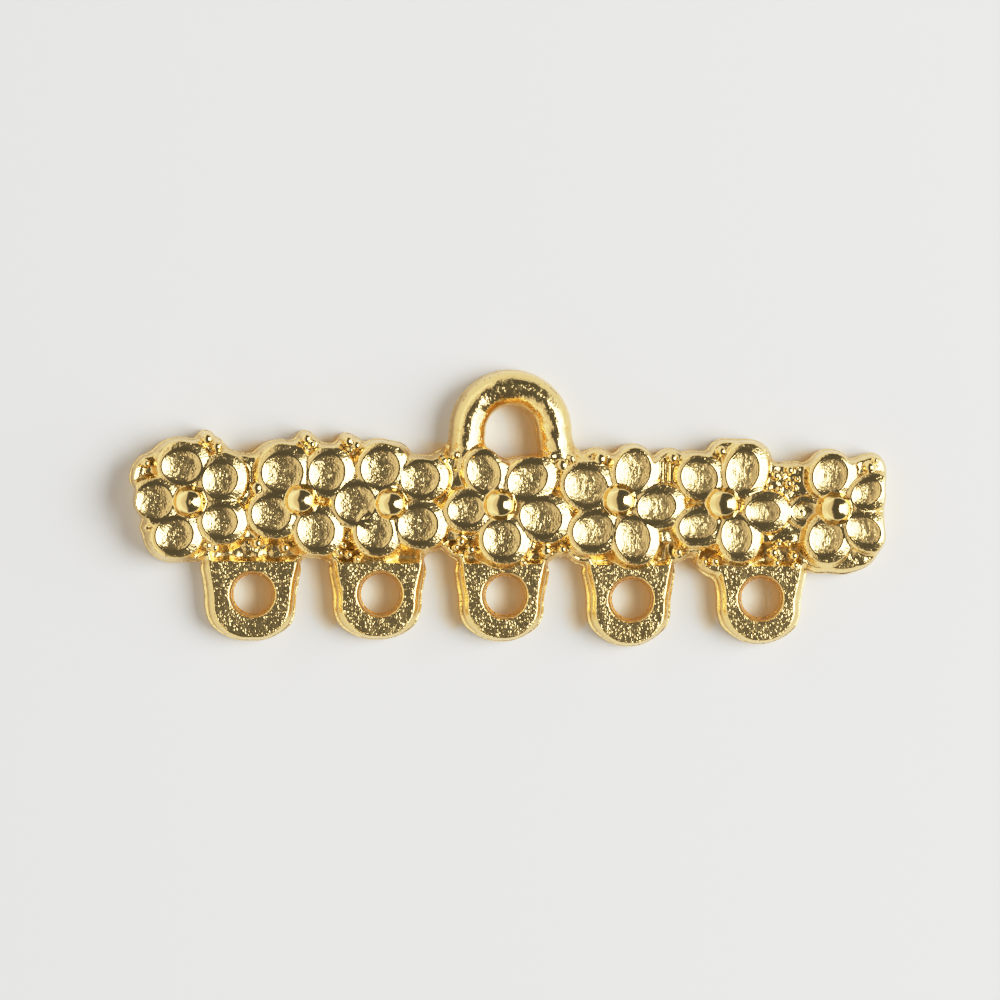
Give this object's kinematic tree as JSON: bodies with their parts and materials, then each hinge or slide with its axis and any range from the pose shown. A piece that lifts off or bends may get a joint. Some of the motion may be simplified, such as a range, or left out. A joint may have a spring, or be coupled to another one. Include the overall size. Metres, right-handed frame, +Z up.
{
  "type": "five-strand jewellery connector",
  "caption": "Flat-backed cast connector bar with a row of overlapping flowers, holed tabs for bead strands along one edge and a loop for a clasp on the other.",
  "frame": {"origin": "middle of the bounding box at the flat back on which the connector lies", "axes": "+X along the row of flowers, +Y towards the clasp loop, +Z up out of the flowers' faces"},
  "size_m": [0.03, 0.0108, 0.0023],
  "materials": {
    "gold_plate": "bright gold plating over a casting with a fine pebbled skin"
  },
  "bodies": {
    "root": {"connector": "gold_plate"}
  },
  "joints": []
}
